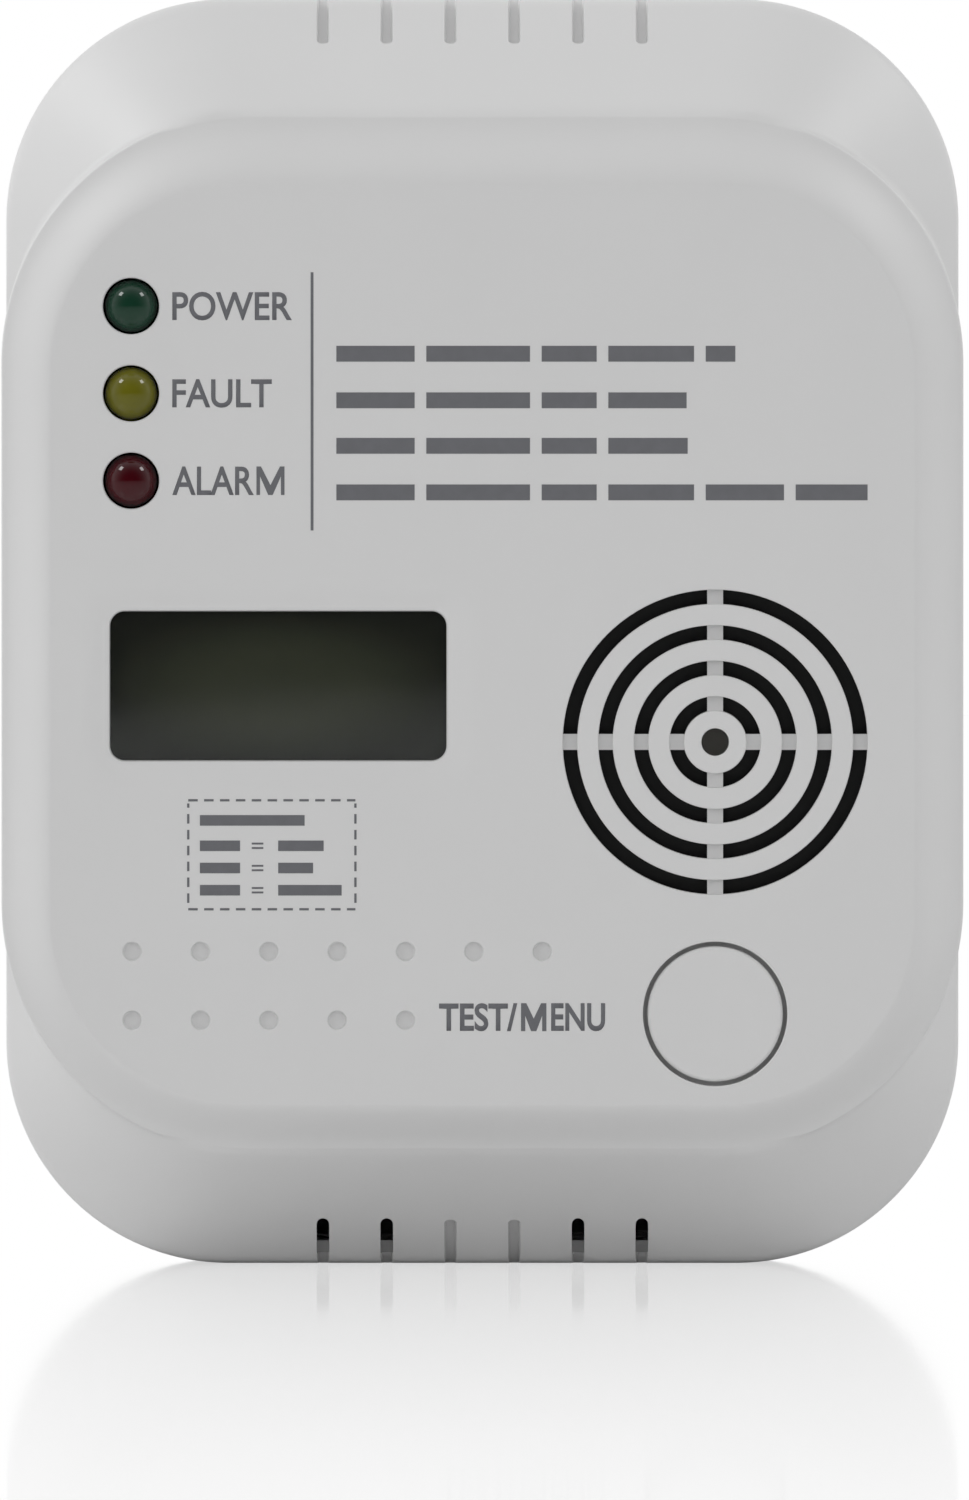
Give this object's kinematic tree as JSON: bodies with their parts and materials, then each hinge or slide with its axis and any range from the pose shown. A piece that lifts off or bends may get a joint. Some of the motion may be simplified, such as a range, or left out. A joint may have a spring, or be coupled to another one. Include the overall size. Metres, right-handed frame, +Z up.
{
  "type": "carbon monoxide detector",
  "caption": "Battery-powered gas alarm with status lamps, a display, a sounder grille and a sprung test button, in a rounded case with a hinged battery door on its back.",
  "frame": {"origin": "under the middle of the detector, on the surface it stands on", "axes": "+Z up the detector's height, +X to the right seen from the front, +Y from the face towards the back, so the face looks towards -Y"},
  "size_m": [0.091, 0.0382, 0.12],
  "materials": {
    "cover_plastic": "moulded ABS with a fine satin texture, pale warm grey",
    "housing_plastic": "moulded ABS with a fine satin texture, pale grey",
    "clear_window": "clear moulded polycarbonate",
    "display_glass": "unlit liquid crystal display, dark greenish grey",
    "white_plastic": "moulded white plastic",
    "contact_rubber": "layered conductive silicone rubber",
    "board_laminate": "glass-epoxy laminate under green solder mask",
    "green_lens": "dark green tinted clear epoxy, unlit",
    "yellow_lens": "yellow tinted clear epoxy, unlit",
    "red_lens": "dark red tinted clear epoxy, unlit",
    "black_plastic": "moulded black plastic",
    "tinned_metal": "tin-plated copper alloy",
    "brass_sheet": "rolled brass",
    "piezo_ceramic": "sintered ceramic",
    "gasket_foam": "closed-cell foam",
    "can_steel": "drawn nickel-plated steel",
    "chip_plastic": "moulded epoxy with tinned legs",
    "capacitor_sleeve": "shrunk PVC sleeve",
    "ferrite": "sintered ferrite with enamelled winding",
    "cell_sleeve": "printed shrink sleeve over a steel can",
    "nickel_plate": "nickel-plated spring steel",
    "red_insulation": "PVC wire insulation, red",
    "black_insulation": "PVC wire insulation, black",
    "screw_steel": "zinc-plated steel",
    "label_film": "blank satin polyester label"
  },
  "bodies": {
    "detector": {"front_cover": "cover_plastic", "rear_housing": "housing_plastic", "display_window": "clear_window", "lcd_panel": "display_glass", "lcd_holder": "white_plastic", "zebra_strips": "contact_rubber", "main_board": "board_laminate", "led_power": "green_lens", "led_fault": "yellow_lens", "led_alarm": "red_lens", "led_holder": "black_plastic", "led_leads": "tinned_metal", "switch_body": "black_plastic", "switch_legs": "tinned_metal", "buzzer_case": "black_plastic", "buzzer_plate": "brass_sheet", "buzzer_ceramic": "piezo_ceramic", "buzzer_gasket": "gasket_foam", "sensor_can": "can_steel", "sensor_cap": "black_plastic", "sensor_pins": "brass_sheet", "microcontroller": "chip_plastic", "driver_chips": "chip_plastic", "chip_resistors": "piezo_ceramic", "capacitor": "capacitor_sleeve", "inductor": "ferrite", "crystal": "can_steel", "cell_1": "cell_sleeve", "cell_2": "cell_sleeve", "cell_3": "cell_sleeve", "contact_springs": "nickel_plate", "contact_plates": "nickel_plate", "lead_red": "red_insulation", "lead_black": "black_insulation", "case_screws": "screw_steel", "board_screws": "screw_steel", "rating_label": "label_film"},
    "door": {"battery_door": "housing_plastic"},
    "button": {"test_button": "cover_plastic"},
    "plunger": {"switch_plunger": "black_plastic"}
  },
  "joints": [
    {"name": "test_button_press", "type": "slide", "parent": "detector", "child": "button", "axis": [0, 1, 0], "range_m": [0, 0.0005], "stiffness_N_per_m": 3000},
    {"name": "switch_plunger_press", "type": "slide", "parent": "detector", "child": "plunger", "axis": [0, 1, 0], "range_m": [0, 0.0005], "stiffness_N_per_m": 200},
    {"name": "battery_door_swing", "type": "hinge", "parent": "detector", "child": "door", "pos_m": [0, 0.01745, 0.0241], "axis": [-1, 0, 0], "range_deg": [0, 95]}
  ],
  "couplings": [
    {"joint": "switch_plunger_press", "follows": "test_button_press", "ratio": 1}
  ]
}
